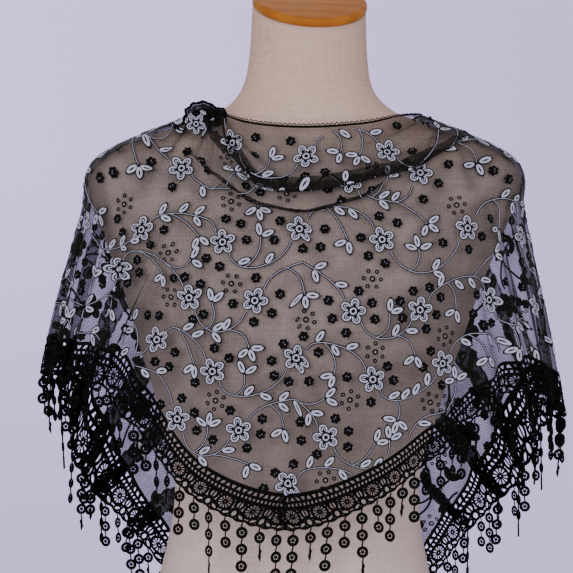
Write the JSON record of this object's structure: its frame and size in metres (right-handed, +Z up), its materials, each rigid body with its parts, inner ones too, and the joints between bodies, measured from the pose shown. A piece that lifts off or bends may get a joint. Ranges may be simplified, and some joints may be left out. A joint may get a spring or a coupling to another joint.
{
  "type": "lace shawl on a dress form",
  "caption": "Triangular embroidered net shawl with lace edging and disc fringe, draped in a cowl over a limbless linen dress form with a wooden neck cap.",
  "frame": {"origin": "middle of the base board's underside, where the dress form stands", "axes": "+Z up the form, -Y the way the front faces, +X to the right seen from the front"},
  "size_m": [0.5108, 0.2702, 0.7916],
  "materials": {
    "net": "fine black tulle, matte, see-through",
    "embroidery": "grey-white satin stitch with black outlines",
    "guipure": "black cotton guipure lace, matte",
    "linen": "natural linen with fine slubs",
    "wood": "light honey wood, satin varnish"
  },
  "bodies": {
    "root": {"torso": "linen", "neck_cap": "wood", "base_board": "wood", "left_back_net": "net", "left_back_binding": "guipure", "left_shoulder_net": "net", "left_shoulder_binding": "guipure", "front_net": "net", "front_binding": "guipure", "right_shoulder_net": "net", "right_shoulder_binding": "guipure", "right_back_net": "net", "right_back_binding": "guipure", "left_back_edging": "guipure", "left_back_fringe": "guipure", "left_shoulder_edging": "guipure", "left_shoulder_fringe": "guipure", "left_front_edging": "guipure", "left_front_fringe": "guipure", "right_front_edging": "guipure", "right_front_fringe": "guipure", "right_shoulder_edging": "guipure", "right_shoulder_fringe": "guipure", "right_back_edging": "guipure", "right_back_fringe": "guipure", "left_gather": "net"}
  },
  "joints": []
}
